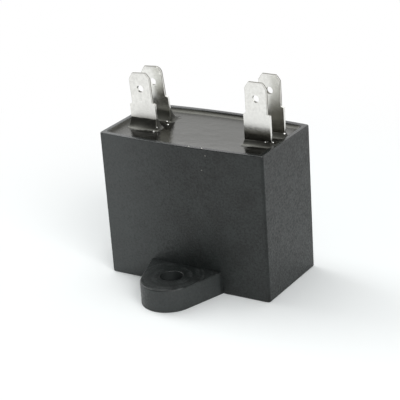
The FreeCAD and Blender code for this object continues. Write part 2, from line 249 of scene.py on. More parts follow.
def moulded_pbt():
    """Glass-filled PBT, injection moulded in a spark-eroded tool.

    Black all through, with a fine even grain that spreads its highlights, so that large
    faces take a soft grey from the pale things round them. The rim is trimmed smooth, the
    upright edges are rubbed dull, and screw heads have scuffed faint rings round the ear's
    hole. The left end and the ear's flanks are painted paler: painted light that stands in
    for the light they catch.
    """
    material, tree, place = new_material("pbt_moulded_spark_textured")
    # The real grain is some 0.1 mm across. It is drawn as coarse as it needs to show.
    grain_size, grain_depth, cloud_size, arc_width, scuff_size = 0.55, 0.07, 5.0, 1.1, 3.0
    grain = add_node(tree, "ShaderNodeTexNoise", {
        "Vector": place, "Scale": per_metre(grain_size), "Detail": 3.0, "Roughness": 0.7})
    cloud = add_node(tree, "ShaderNodeTexNoise", {
        "Vector": place, "Scale": per_metre(cloud_size), "Detail": 3.0, "Roughness": 0.55})
    blotch = add_node(tree, "ShaderNodeMix", {MIX_FACTOR: 0.6, MIX_A: cloud, MIX_B: grain})
    tone = add_node(tree, "ShaderNodeValToRGB", {"Fac": blotch},
                    stops=((0.38, "#1b201f"), (0.6, "#080c0b")))
    polish = add_node(tree, "ShaderNodeMapRange", {
        "Value": grain, "From Min": 0.3, "From Max": 0.7, "To Min": 0.28, "To Max": 0.64})
    relief = add_node(tree, "ShaderNodeBump", {"Height": grain, "Distance": grain_depth * MM})
    axes = add_node(tree, "ShaderNodeSeparateXYZ", {0: place}).outputs

    # Painted light: the tone is paled from the middle to the left end (film), and on the
    # ear's flanks, in place of the light these parts catch
    light_from_x, light_to_x, end_light = 2, -24, 0.43
    ear_from_y, ear_to_y, flank_light = -13.2, -13.8, 0.22
    film = add_node(tree, "ShaderNodeMapRange", {
        "Value": axes["X"], "From Min": light_from_x * MM, "From Max": light_to_x * MM,
        "To Max": end_light}, interpolation_type="SMOOTHSTEP")
    past_wall = add_node(tree, "ShaderNodeMapRange", {
        "Value": axes["Y"], "From Min": ear_from_y * MM, "From Max": ear_to_y * MM})
    below_top = add_node(tree, "ShaderNodeMapRange", {
        "Value": axes["Z"], "From Min": (EAR_HEIGHT - 0.1) * MM,
        "From Max": (EAR_HEIGHT - 0.5) * MM, "To Max": flank_light})
    flank_light_mask = add_node(tree, "ShaderNodeMath", {0: past_wall, 1: below_top},
                          operation="MULTIPLY")
    painted_light_mask = add_node(tree, "ShaderNodeMath", {0: film, 1: flank_light_mask}, operation="MAXIMUM")
    painted_light_tone = add_node(tree, "ShaderNodeMix", {
        MIX_FACTOR: painted_light_mask, MIX_COLOUR_A: tone, MIX_COLOUR_B: linear("#4a4e4e")},
        data_type="RGBA")

    # Scuffs: broken rings on the ear's top face only, a little above and below its height
    top_band = 0.3
    from_hole = add_node(tree, "ShaderNodeVectorMath", {
        0: place, 1: (EAR_OFFSET * MM, EAR_HOLE_Y * MM, EAR_HEIGHT * MM)},
        operation="DISTANCE")
    arcs = add_node(tree, "ShaderNodeTexNoise", {
        "W": from_hole.outputs["Value"], "Scale": per_metre(arc_width)}, noise_dimensions="1D")
    rings = add_node(tree, "ShaderNodeMapRange", {
        "Value": arcs, "From Min": 0.42, "From Max": 0.7, "To Max": 0.7})
    scuff = add_node(tree, "ShaderNodeTexNoise", {
        "Vector": place, "Scale": per_metre(scuff_size), "Detail": 5.0, "Roughness": 0.75})
    marks = add_node(tree, "ShaderNodeMapRange", {"Value": scuff, "From Min": 0.42, "From Max": 0.62})
    at_top = add_node(tree, "ShaderNodeMath", {
        0: axes["Z"], 1: EAR_HEIGHT * MM, 2: top_band * MM}, operation="COMPARE")
    worn = rings
    for limit in (at_top, past_wall, marks):
        worn = add_node(tree, "ShaderNodeMath", {0: worn, 1: limit}, operation="MULTIPLY")
    scuffed = add_node(tree, "ShaderNodeMix", {
        MIX_FACTOR: worn, MIX_COLOUR_A: painted_light_tone.outputs[MIX_COLOUR],
        MIX_COLOUR_B: linear("#484b4b")}, data_type="RGBA")

    # Rubbed and trimmed places: the upright edges, by their distance from the middle along
    # both axes, and the rim
    edge_zones = {"X": (24.1, 24.8), "Y": (12.0, 12.6)}
    edge_roughness, rim_roughness = 0.85, 0.26
    near = []
    for axis, (low, high) in edge_zones.items():
        reach = add_node(tree, "ShaderNodeMath", {0: axes[axis]}, operation="ABSOLUTE")
        near.append(add_node(tree, "ShaderNodeMapRange", {
            "Value": reach, "From Min": low * MM, "From Max": high * MM}))
    upright = add_node(tree, "ShaderNodeMath", {0: near[0], 1: near[1]}, operation="MULTIPLY")
    rim = add_node(tree, "ShaderNodeMapRange", {
        "Value": axes["Z"], "From Min": (CASE_HEIGHT - 0.4) * MM,
        "From Max": (CASE_HEIGHT - 0.2) * MM})
    dulled = add_node(tree, "ShaderNodeMix", {
        MIX_FACTOR: upright, MIX_A: polish, MIX_B: edge_roughness})
    rubbed = add_node(tree, "ShaderNodeMix", {MIX_FACTOR: rim, MIX_A: dulled, MIX_B: rim_roughness})
    shader = add_node(tree, "ShaderNodeBsdfPrincipled", {
        "Base Color": scuffed.outputs[MIX_COLOUR], "Roughness": rubbed, "IOR": 1.5,
        "Normal": relief})
    add_node(tree, "ShaderNodeOutputMaterial", {"Surface": shader})
    return material


def cast_epoxy():
    """Black filled epoxy, poured and cured with a free surface.

    A still liquid surface set hard: it mirrors like glass, with slow waves from curing
    and a faint haze of dust, and is duller where it climbed the walls and blades.
    """
    material, tree, place = new_material("epoxy_poured_black")
    # Real dust is finer than 0.1 mm. It is drawn as coarse as it needs to show.
    wave_size, wave_depth, dust_size, dust_depth = 5.0, 0.13, 0.5, 0.025
    waves = add_node(tree, "ShaderNodeTexNoise", {
        "Vector": place, "Scale": per_metre(wave_size), "Detail": 4.0, "Roughness": 0.6})
    dust = add_node(tree, "ShaderNodeTexNoise", {
        "Vector": place, "Scale": per_metre(dust_size), "Detail": 3.0, "Roughness": 0.7})
    haze = add_node(tree, "ShaderNodeMapRange", {
        "Value": dust, "From Min": 0.35, "From Max": 0.75, "To Min": 0.09, "To Max": 0.21})
    height = add_node(tree, "ShaderNodeSeparateXYZ", {0: place}).outputs["Z"]
    climbed = add_node(tree, "ShaderNodeMapRange", {
        "Value": height, "From Min": (RESIN_LEVEL + 0.15) * MM,
        "From Max": (RESIN_LEVEL + 0.65) * MM, "To Max": 0.3})
    dulled = add_node(tree, "ShaderNodeMath", {0: haze, 1: climbed}, operation="ADD")
    swell = add_node(tree, "ShaderNodeBump", {
        "Height": waves, "Strength": 0.7, "Distance": wave_depth * MM})
    relief = add_node(tree, "ShaderNodeBump", {
        "Height": dust, "Distance": dust_depth * MM, "Normal": swell})
    tone = add_node(tree, "ShaderNodeValToRGB", {"Fac": dust},
                    stops=((0.46, "#040404"), (0.72, "#1e1d18")))
    shader = add_node(tree, "ShaderNodeBsdfPrincipled", {
        "Base Color": tone, "Roughness": dulled, "IOR": 1.6,
        "Specular Tint": linear("#f9faec"), "Normal": relief})
    add_node(tree, "ShaderNodeOutputMaterial", {"Surface": shader})
    return material


def tinned_brass():
    """Brass strip, rolled, tin plated and stamped.

    The matte tin gives a bright satin grey, with fine lines along the rolling direction
    and a faint mottle from handling. The flats of the blades' feet are painted darker, a
    little higher towards the right end: a painted reflection that deepens their mirror
    image of the dark resin.
    """
    material, tree, place = new_material("brass_strip_tin_plated")
    # Real rolling lines are some 0.02 mm wide. They are drawn as coarse as they need to show.
    mottle_size, line_width, line_stretch, line_depth = 0.9, 0.22, 0.06, 0.004
    mottle = add_node(tree, "ShaderNodeTexNoise", {
        "Vector": place, "Scale": per_metre(mottle_size), "Detail": 4.0, "Roughness": 0.6})
    stretched = add_node(tree, "ShaderNodeMapping", {
        "Vector": place, "Scale": (1.0, 1.0, line_stretch)})
    rolling = add_node(tree, "ShaderNodeTexNoise", {
        "Vector": stretched, "Scale": per_metre(line_width)})
    tone = add_node(tree, "ShaderNodeValToRGB", {"Fac": mottle},
                    stops=((0.3, "#dededa"), (0.7, "#f0f0ec")))
    polish = add_node(tree, "ShaderNodeMapRange", {
        "Value": mottle, "From Min": 0.3, "From Max": 0.7, "To Min": 0.17, "To Max": 0.26})
    relief = add_node(tree, "ShaderNodeBump", {
        "Height": rolling, "Strength": 0.12, "Distance": line_depth * MM})

    # Painted reflection: the darker tone's top rises along X. Faces turned away from the Y
    # axis are the strip's edges, which keep the plain tone.
    dark_reflection_rise, edge_turn = 0.04, 0.5
    axes = add_node(tree, "ShaderNodeSeparateXYZ", {0: place}).outputs
    level = add_node(tree, "ShaderNodeMath", {0: axes["X"], 1: -dark_reflection_rise, 2: axes["Z"]},
                     operation="MULTIPLY_ADD")
    bare = add_node(tree, "ShaderNodeMapRange", {
        "Value": level, "From Min": (CASE_HEIGHT + 0.9) * MM,
        "From Max": (CASE_HEIGHT + 3.7) * MM}, interpolation_type="SMOOTHSTEP")
    facing = add_node(tree, "ShaderNodeNewGeometry").outputs["Normal"]
    across = add_node(tree, "ShaderNodeSeparateXYZ", {0: facing}).outputs["Y"]
    turned = add_node(tree, "ShaderNodeMath", {0: across}, operation="ABSOLUTE")
    edge = add_node(tree, "ShaderNodeMath", {0: turned, 1: edge_turn}, operation="LESS_THAN")
    clean = add_node(tree, "ShaderNodeMath", {0: bare, 1: edge}, operation="MAXIMUM")
    # The darker tone on the feet is a painted reflection of the dark resin
    painted_reflection_tone = add_node(tree, "ShaderNodeMix", {
        MIX_FACTOR: clean, MIX_COLOUR_A: linear("#94928a"), MIX_COLOUR_B: tone},
        data_type="RGBA")
    shader = add_node(tree, "ShaderNodeBsdfPrincipled", {
        "Base Color": painted_reflection_tone.outputs[MIX_COLOUR], "Metallic": 1.0, "Roughness": polish,
        "Normal": relief})
    add_node(tree, "ShaderNodeOutputMaterial", {"Surface": shader})
    return material


def sheared_brass():
    """Brass sheared by the press tool: a dull grey-yellow cut with no plating on it."""
    material, tree, place = new_material("brass_sheared_edge")
    tear_size = 0.25
    tearing = add_node(tree, "ShaderNodeTexNoise", {"Vector": place, "Scale": per_metre(tear_size)})
    tone = add_node(tree, "ShaderNodeValToRGB", {"Fac": tearing},
                    stops=((0.0, "#66645c"), (1.0, "#7f7d74")))
    shader = add_node(tree, "ShaderNodeBsdfPrincipled", {
        "Base Color": tone, "Metallic": 1.0, "Roughness": 0.42})
    add_node(tree, "ShaderNodeOutputMaterial", {"Surface": shader})
    return material


def shaded_back_tin():
    """Tin plate on the back of the front blade, painted darker low down as shade.

    Grey-brown low down, thinning out to the plain plate towards the tip: painted shade
    between the blades, which the rear blade mirrors.
    """
    material, tree, place = new_material("tin_plate_painted_shade")
    shade_blotch_size, shade_blotch_share = 3.0, 0.35
    shade_blotch = add_node(tree, "ShaderNodeTexNoise", {
        "Vector": place, "Scale": per_metre(shade_blotch_size), "Detail": 3.0, "Roughness": 0.6})
    height = add_node(tree, "ShaderNodeSeparateXYZ", {0: place}).outputs["Z"]
    thin = add_node(tree, "ShaderNodeMapRange", {
        "Value": height, "From Min": (CASE_HEIGHT + 3.6) * MM,
        "From Max": (CASE_HEIGHT + 7.9) * MM, "To Min": -0.25})
    unshaded_share = add_node(tree, "ShaderNodeMath", {0: shade_blotch, 1: shade_blotch_share, 2: thin},
                        operation="MULTIPLY_ADD")
    tone = add_node(tree, "ShaderNodeValToRGB", {"Fac": unshaded_share},
                    stops=((0.0, "#a8a69c"), (1.0, "#ecece8")))
    shader = add_node(tree, "ShaderNodeBsdfPrincipled", {
        "Base Color": tone, "Metallic": 0.9, "Roughness": 0.3})
    add_node(tree, "ShaderNodeOutputMaterial", {"Surface": shader})
    return material


def metallised_film():
    """Polypropylene film with a metal layer, wound and pressed flat: a hazy silver roll."""
    material, tree, place = new_material("film_metallised_wound")
    swell_width = 8.0
    bands = add_node(tree, "ShaderNodeTexWave", {
        "Vector": place, "Scale": per_metre(swell_width), "Distortion": 1.5}, bands_direction="Z")
    polish = add_node(tree, "ShaderNodeMapRange", {
        "Value": bands.outputs["Fac"], "To Min": 0.28, "To Max": 0.4})
    shader = add_node(tree, "ShaderNodeBsdfPrincipled", {
        "Base Color": linear("#c9cac6"), "Metallic": 0.6, "Roughness": polish, "IOR": 1.49})
    add_node(tree, "ShaderNodeOutputMaterial", {"Surface": shader})
    return material


def sprayed_zinc():
    """Zinc and tin, flame sprayed: a dull grey crust of small spattered drops."""
    material, tree, place = new_material("zinc_flame_sprayed")
    # Real drops are some 0.1 mm across. They are drawn as coarse as they need to show.
    drop_size, drop_depth = 0.25, 0.08
    drops = add_node(tree, "ShaderNodeTexVoronoi", {"Vector": place, "Scale": per_metre(drop_size)})
    relief = add_node(tree, "ShaderNodeBump", {
        "Height": drops, "Strength": 0.8, "Distance": drop_depth * MM})
    shader = add_node(tree, "ShaderNodeBsdfPrincipled", {
        "Base Color": linear("#a3a4a2"), "Metallic": 1.0, "Roughness": 0.65, "Normal": relief})
    add_node(tree, "ShaderNodeOutputMaterial", {"Surface": shader})
    return material


def cured_crumb():
    """Epoxy that dripped and cured in the open: pale with dust, rough as broken glass."""
    return plain_material("epoxy_crumb_dusty", "#dedcd2", 0.1, (0.4, 0.7), IOR=1.6)


def tinned_wire():
    """Copper wire, drawn and tinned: bright grey with a slightly uneven sheen."""
    return plain_material("copper_wire_tinned", "#d8d8d4", 0.3, (0.22, 0.36), Metallic=1.0)


def extruded_pvc():
    """Soft PVC, extruded as a sleeve: pale grey with a waxy sheen."""
    return plain_material("pvc_sleeve_extruded", "#d9d8d2", 0.8, (0.35, 0.5), IOR=1.53)


def set_solder():
    """Tin solder that flowed and set: bright, with a frosted skin that spreads its glints."""
    return plain_material("solder_tin_set", "#e8e8e6", 0.4, (0.2, 0.32), detail=3.0,
                          Metallic=1.0)


def mesh_object(name, vertices, faces):
    """Object from points in millimetres and faces, with its faces turned outwards."""
    mesh = bpy.data.meshes.new(name)
    mesh.from_pydata([Vector(v) * MM for v in vertices], [], faces)
    work = bmesh.new()
    work.from_mesh(mesh)
    bmesh.ops.recalc_face_normals(work, faces=work.faces)
    work.to_mesh(mesh)
    work.free()
    piece = bpy.data.objects.new(name, mesh)
    bpy.context.scene.collection.objects.link(piece)
    return piece


def loft_rings(rings, closed_ends=True):
    """Vertices and faces of a skin over rings of equal length, with flat end faces."""
    count = len(rings[0])
    vertices = [point for ring in rings for point in ring]
    faces = []
    for level in range(len(rings) - 1):
        for k in range(count):
            a = level * count + k
            b = level * count + (k + 1) % count
            faces.append((a, b, b + count, a + count))
    if closed_ends:
        faces.append(tuple(range(count)))
        last = (len(rings) - 1) * count
        faces.append(tuple(range(last, last + count)))
    return vertices, faces


def bake_modifiers(piece):
    """Turns a piece's modifiers into its own mesh."""
    graph = bpy.context.evaluated_depsgraph_get()
    mesh = bpy.data.meshes.new_from_object(piece.evaluated_get(graph))
    piece.modifiers.clear()
    piece.data = mesh


def combine(piece, tool, operation):
    """Joins a closed tool to a closed piece or cuts it out, and removes the tool."""
    step = piece.modifiers.new(operation, "BOOLEAN")
    step.operation = operation
    step.solver = "EXACT"
    step.object = tool
    bake_modifiers(piece)
    bpy.data.objects.remove(tool)


def smooth_faces(piece, sharp_angle):
    """Smooth shading with sharp edges kept, where large flat faces stay flat to the eye."""
    mesh = piece.data
    for face in mesh.polygons:
        face.use_smooth = True
    mesh.set_sharp_from_angle(angle=math.radians(sharp_angle))
    step = piece.modifiers.new("weighted", "WEIGHTED_NORMAL")
    step.keep_sharp = True
    bake_modifiers(piece)


def quarter(steps):
    """Sines and cosines of even steps through a quarter turn."""
    return [(math.sin(math.pi / 2 * k / steps), math.cos(math.pi / 2 * k / steps))
            for k in range(steps + 1)]


def between(start, stop, share):
    """The point at a share of the way from start to stop."""
    return tuple(a + (b - a) * share for a, b in zip(start, stop))


def side_y(x, z, inset, side):
    """Y of a long wall's face, front with side -1 and rear with side 1, at one place."""
    share = z / CASE_HEIGHT
    half_length = case_half_length(z, inset)
    half_width = (CASE_WIDTH - DRAFT_WIDTH * (1 - share)) / 2 - inset
    return side * (half_width + BOW[side] * share * (1 - (x / half_length) ** 2))


def case_half_length(z, inset):
    """Half the length of the case's outline at one height."""
    return (CASE_LENGTH - DRAFT_LENGTH * (1 - z / CASE_HEIGHT)) / 2 - inset


def corner_arc(z, inset, radius, side, end, steps):
    """Points of one rounded upright edge in plan, from the long wall to the end wall."""
    half_length = case_half_length(z, inset)
    lean = math.atan(2 * BOW[side] * (z / CASE_HEIGHT) / half_length)
    touch_x = half_length - radius + radius * math.sin(lean)
    centre_x = half_length - radius
    centre_y = side_y(touch_x, z, inset, side) - side * radius * math.cos(lean)
    points = []
    for k in range(steps + 1):
        turn = lean + (math.pi / 2 - lean) * k / steps
        points.append((end * (centre_x + radius * math.sin(turn)),
                       centre_y + side * radius * math.cos(turn), z))
    return points


def case_ring(z, inset, radius=EDGE_RADIUS, long_steps=48, short_steps=20, corner_steps=6):
    """Outline of the case at one height as a ring of points."""
    corners = {(side, end): corner_arc(z, inset, radius, side, end, corner_steps)
               for side in (-1, 1) for end in (-1, 1)}
    ring = []
    for side, end in ((-1, 1), (1, -1)):
        corner, next_corner = corners[(side, end)], corners[(-side, end)][::-1]
        for k in range(1, long_steps):
            x = between(corners[(side, -end)][0], corner[0], k / long_steps)[0]
            ring.append((x, side_y(x, z, inset, side), z))
        ring += corner
        ring += [between(corner[-1], next_corner[0], k / short_steps)
                 for k in range(1, short_steps)]
        ring += next_corner
    return ring


def moulded_box():
    """The case without its ear: rounded base, bowed walls, rounded rim, hollow inside."""
    rings = []
    for sine, cosine in quarter(steps=4):
        rings.append(case_ring(BASE_ROUNDING * (1 - cosine), BASE_ROUNDING * (1 - sine)))
    top = CASE_HEIGHT - RIM_ROUNDING
    levels = 10
    for k in range(1, levels):
        rings.append(case_ring(BASE_ROUNDING + (top - BASE_ROUNDING) * k / levels, 0.0))
    for sine, cosine in quarter(steps=4):
        rings.append(case_ring(top + RIM_ROUNDING * sine, RIM_ROUNDING * (1 - cosine)))
    inner_top = CASE_HEIGHT - RIM_INNER_ROUNDING
    for sine, cosine in quarter(steps=3):
        rings.append(case_ring(inner_top + RIM_INNER_ROUNDING * cosine,
                               WALL - RIM_INNER_ROUNDING * (1 - sine), INNER_EDGE_RADIUS))
    rings.append(case_ring(FLOOR, WALL, INNER_EDGE_RADIUS))
    return mesh_object("moulded_case", *loft_rings(rings))


def ear_ring(z, inset, nose_steps=56, flank_steps=10, root_steps=16):
    """Outline of the ear at one height: round nose, straight flanks, root in the wall."""
    nose = Vector((EAR_OFFSET, FRONT_FOOT_Y - EAR_REACH + EAR_NOSE_RADIUS))
    root = Vector((EAR_OFFSET + EAR_ROOT_WIDTH / 2, FRONT_FOOT_Y))
    turn = math.asin(EAR_NOSE_RADIUS / (nose - root).length)
    heading = math.atan2(nose.y - root.y, nose.x - root.x) + turn
    flank = Vector((math.cos(heading), math.sin(heading)))
    outward = Vector((-flank.y, flank.x))
    radius = EAR_NOSE_RADIUS - inset
    touch = nose + outward * radius
    buried_y = FRONT_FOOT_Y + WALL / 2
    end = touch - flank * ((buried_y - touch.y) / -flank.y)
    touch_turn = math.atan2(outward.y, outward.x)
    sweep = math.pi + 2 * touch_turn
    ring = []
    for k in range(nose_steps + 1):
        angle = touch_turn - sweep * k / nose_steps
        ring.append((nose.x + radius * math.cos(angle), nose.y + radius * math.sin(angle), z))
    left_touch = ring[-1]
    left_end = (2 * EAR_OFFSET - end.x, end.y, z)
    right_end, right_touch = (end.x, end.y, z), (touch.x, touch.y, z)
    ring += [between(left_touch, left_end, k / flank_steps) for k in range(1, flank_steps + 1)]
    ring += [between(left_end, right_end, k / root_steps) for k in range(1, root_steps)]
    ring += [between(right_end, right_touch, k / flank_steps) for k in range(flank_steps)]
    return ring


def hole_ring(outline, z, radius):
    """Ring of the screw hole whose points face those of an outline."""
    ring = []
    for x, y, _ in outline:
        angle = math.atan2(y - EAR_HOLE_Y, x - EAR_OFFSET)
        ring.append((EAR_OFFSET + radius * math.cos(angle),
                     EAR_HOLE_Y + radius * math.sin(angle), z))
    return ring


def mounting_ear():
    """The ear with its rounded top edge and screw hole, as one closed ring-shaped skin."""
    rings = []
    for sine, cosine in quarter(steps=2):
        rings.append(ear_ring(EAR_BASE_ROUNDING * (1 - cosine), EAR_BASE_ROUNDING * (1 - sine)))
    top = EAR_HEIGHT - EAR_TOP_ROUNDING
    for sine, cosine in quarter(steps=5):
        rings.append(ear_ring(top + EAR_TOP_ROUNDING * sine, EAR_TOP_ROUNDING * (1 - cosine)))
    outline = rings[-1]
    for sine, cosine in quarter(steps=4):
        rings.append(hole_ring(outline, EAR_HEIGHT - EAR_HOLE_ROUNDING * (1 - cosine),
                               EAR_HOLE_RADIUS + EAR_HOLE_ROUNDING * (1 - sine)))
    rings.append(hole_ring(outline, 0.0, EAR_HOLE_RADIUS))
    vertices, faces = loft_rings(rings, closed_ends=False)
    count = len(outline)
    last = (len(rings) - 1) * count
    for k in range(count):
        following = (k + 1) % count
        faces.append((last + k, last + following, following, k))
    return mesh_object("ear", vertices, faces)


def make_case(material):
    """The moulded case with its ear, in place of the plain one."""
    piece = moulded_box()
    combine(piece, mounting_ear(), "UNION")
    smooth_faces(piece, sharp_angle=32)
    piece.data.materials.append(material)
    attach(piece, "root")
    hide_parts("case")


def blade_half_widths(rise, worn_radius):
    """How far a blade reaches to -X and to +X at a height above the rim."""
    half = BLADE_WIDTH / 2
    if rise <= SHOULDER_RISE - SHOULDER_SLOPE:
        half = SHANK_WIDTH / 2
    elif rise < SHOULDER_RISE:
        share = (SHOULDER_RISE - rise) / SHOULDER_SLOPE
        half += (SHANK_WIDTH - BLADE_WIDTH) / 2 * share
    left = half - max(0.0, rise - TIP_RISE + CORNER_HEIGHT) * CORNER_WIDTH / CORNER_HEIGHT
    if worn_radius == 0:
        return left, left
    over = min(max(0.0, rise - TIP_RISE + worn_radius), worn_radius)
    right = half - worn_radius + math.sqrt(worn_radius ** 2 - over ** 2)
    return left, right


def strip_section(rise, worn_radius, shrink=0.0):
    """Cross-section of the strip as (across, through) points with rounded corners.

    It has one more point in the middle of each edge, where torn and clean metal meet.
    """
    left, right = blade_half_widths(rise, worn_radius)
    into_bevel = max(0.0, rise - TIP_RISE + TIP_BEVEL_HEIGHT) / TIP_BEVEL_HEIGHT
    half = BLADE_THICKNESS / 2 - TIP_BEVEL * into_bevel - shrink
    left -= shrink
    right -= shrink
    radius = STRIP_EDGE_RADIUS
    arc_steps = 3
    points = []
    corners = ((right, half, 0), (-left, half, 90), (-left, -half, 180), (right, -half, 270))
    for x, y, start in corners:
        centre_x = x - math.copysign(radius, x)
        centre_y = y - math.copysign(radius, y)
        for k in range(arc_steps + 1):
            angle = math.radians(start + 90 * k / arc_steps)
            points.append((centre_x + radius * math.cos(angle),
                           centre_y + radius * math.sin(angle)))
        if start in (90, 270):
            points.append((x, 0.0))
    return points


def blade_stations(worn_radius):
    """Heights above the rim at which a blade's cross-section is taken, from the tip down."""
    edge = STRIP_EDGE_RADIUS
    rises = [TIP_RISE, TIP_RISE - edge * 0.3, TIP_RISE - edge]
    rises += [TIP_RISE - TIP_BEVEL_HEIGHT, TIP_RISE - CORNER_HEIGHT]
    if worn_radius > 0:
        rises += [TIP_RISE - worn_radius * (1 - cosine) for _, cosine in quarter(steps=12)[1:]]
    rises += [SHOULDER_RISE, SHOULDER_RISE - SHOULDER_SLOPE]
    spacing = 0.5
    rises += [spacing * k for k in range(15)]
    return sorted(set(rises), reverse=True)


def foot_bend(rise, bend):
    """How far the foot of a front blade is pressed forwards at a height above the rim."""
    if rise <= FOOT_BEND_LOW:
        return bend * max(0.0, rise) / FOOT_BEND_LOW
    share = min(1.0, (rise - FOOT_BEND_LOW) / (FOOT_BEND_HIGH - FOOT_BEND_LOW))
    return bend * (1 - share) ** 2


def blade_y(tab, side, rise):
    """Y of the middle of a blade, front with side -1, at a height above the rim."""
    if side < 0:
        return -BLADE_MIDDLE - foot_bend(rise, tab.bend)
    return BLADE_MIDDLE - math.sin(math.radians(tab.lean)) * rise


def double_tab_mesh(name, tab):
    """One strip folded to a U: rings of its cross-section from one blade's tip to the other."""
    rings = []
    fold = FOLD_RADIUS + BLADE_THICKNESS / 2
    fold_start = BLADE_THICKNESS / 2 + fold - WEB_DROP
    fold_y = BLADE_MIDDLE - fold

    def ring_at(origin, through, section):
        """Ring of a section whose through direction lies in the YZ plane."""
        return [(across, origin[0] + through[0] * deep, origin[1] + through[1] * deep)
                for across, deep in section]

    for rise in blade_stations(0.0):
        shrink = STRIP_EDGE_RADIUS * (rise == TIP_RISE)
        rings.append(ring_at((blade_y(tab, -1, rise), rise), (-1, 0),
                             strip_section(rise, 0.0, shrink)))
    turns = quarter(steps=8)
    for side, side_turns in ((-1, turns), (1, turns[::-1])):
        for sine, cosine in side_turns:
            origin = (side * (fold_y + fold * cosine), fold_start - fold * sine)
            rings.append(ring_at(origin, (side * cosine, -sine), strip_section(0.0, 0.0)))
    lean = math.radians(tab.lean)
    for rise in reversed(blade_stations(tab.worn_radius)):
        origin = (blade_y(tab, 1, rise), math.cos(lean) * rise)
        shrink = STRIP_EDGE_RADIUS * (rise == TIP_RISE)
        rings.append(ring_at(origin, (math.cos(lean), math.sin(lean)),
                             strip_section(rise, tab.worn_radius, shrink)))
    return mesh_object(name, *loft_rings(rings))


def punch(name, radius, start, end, steps=40):
    """Round cutter between two points, in millimetres."""
    start, end = Vector(start), Vector(end)
    axis = (end - start).normalized()
    across = axis.orthogonal().normalized()
    beside = axis.cross(across)
    rings = []
    for middle in (start, end):
        rings.append([tuple(middle + (across * math.cos(math.tau * k / steps)
                                      + beside * math.sin(math.tau * k / steps)) * radius)
                      for k in range(steps)])
    return mesh_object(name, *loft_rings(rings))


def tab_matrix(tab):
    """Place of a double tab: its own origin is at the rim, midway between its blades."""
    turn = (Matrix.Rotation(math.radians(tab.yaw), 4, "Z")
            @ Matrix.Rotation(math.radians(-tab.tilt), 4, "Y"))
    return Matrix.Translation((tab.x * MM, tab.y * MM, (CASE_HEIGHT - tab.sink) * MM)) @ turn


def make_double_tab(name, tab, node, finishes):
    """A stamped and folded double tab in its place.

    Its finishes are the plate, the sheared edge and the plate with painted shade. The rear
    half of each sheared edge is the dull torn zone with no plating, and the back of the
    front blade is painted darker low down, as shade between the blades.
    """
    piece = double_tab_mesh(name, tab)
    reach = BLADE_MIDDLE + 3 * BLADE_THICKNESS
    detent = punch("detent", DETENT_RADIUS, (0, -reach, DETENT_RISE), (0, reach, DETENT_RISE))
    combine(piece, detent, "DIFFERENCE")
    wire_hole = punch("wire_hole", WIRE_HOLE_RADIUS, (0, 0, -WEB_DROP - 1),
                      (0, 0, -WEB_DROP + BLADE_THICKNESS + 1))
    combine(piece, wire_hole, "DIFFERENCE")
    for material in finishes:
        piece.data.materials.append(material)
    for face in piece.data.polygons:
        side = 1 if face.center.y > 0 else -1
        on_blade = face.center.z > SHOULDER_RISE * MM
        behind = face.center.y > blade_y(tab, side, face.center.z / MM) * MM
        burr = abs(face.normal.y) > ROUNDED_FROM or face.normal.z > SQUARE_ON
        if on_blade and (behind or burr) and abs(face.normal.y) < SQUARE_ON:
            face.material_index = 1
        if side < 0 and face.normal.y > SQUARE_ON and face.center.z > 0:
            face.material_index = 2
    piece.data.transform(tab_matrix(tab))
    smooth_faces(piece, sharp_angle=32)
    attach(piece, "root")
    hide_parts(node)


def blade_feet():
    """Where each blade meets the resin: middle, direction across, rise and reach of its collar."""
    feet = []
    for tab in (RIGHT_TAB, LEFT_TAB):
        place = tab_matrix(tab)
        height = RESIN_LEVEL + tab.collar_rise / 2 - (CASE_HEIGHT - tab.sink)
        across = (place.to_3x3() @ Vector((1, 0, 0))).xy.normalized()
        for side in (-1, 1):
            middle = place @ Vector((0, blade_y(tab, side, height) * MM, height * MM))
            feet.append((middle / MM, across, tab.collar_rise, tab.collar_reach))
    return feet


def distance_to_foot(x, y, middle, across):
    """Distance in plan from a point to a blade's outline, zero inside it.

    It counts for more past the blade's narrow ends, where a liquid climbs less far out.
    """
    dx, dy = x - middle.x, y - middle.y
    along = abs(dx * across.x + dy * across.y)
    beside = abs(-dx * across.y + dy * across.x) - BLADE_THICKNESS / 2
    squeeze = 1 + COLLAR_CORNER_SQUEEZE * min(1.0, 2 * along / SHANK_WIDTH) ** 2
    past_end = max(along - SHANK_WIDTH / 2, 0.0) * COLLAR_END_SQUEEZE
    return math.hypot(past_end, max(beside, 0.0) * squeeze)


def wall_climb(gap, toe):
    """Height of the resin's edge at a distance from a wall.

    It is the sum of a hook, a ramp whose foot is rounded off, and a long toe.
    """
    hook = WALL_HOOK[0] * math.exp(-gap / WALL_HOOK[1])
    along = (WALL_RAMP_LENGTH - gap) / WALL_RAMP_SOFTNESS
    ramp = WALL_RAMP_SLOPE * WALL_RAMP_SOFTNESS * math.log1p(math.exp(along))
    return hook + ramp + toe[0] * math.exp(-gap / toe[1])


def collar_climb(gap, rise, reach):
    """Height of the resin's edge at a distance from a blade."""
    return rise * max(0.0, 1 - gap / reach) ** COLLAR_POWER


def resin_limits(x):
    """Y of the front and rear edge of the resin at one place along it."""
    half_length = case_half_length(RESIN_LEVEL, WALL)
    over = min(max(0.0, abs(x) - half_length + INNER_EDGE_RADIUS), INNER_EDGE_RADIUS)
    cut = INNER_EDGE_RADIUS - math.sqrt(INNER_EDGE_RADIUS ** 2 - over ** 2)
    return side_y(x, RESIN_LEVEL, WALL, -1) + cut, side_y(x, RESIN_LEVEL, WALL, 1) - cut


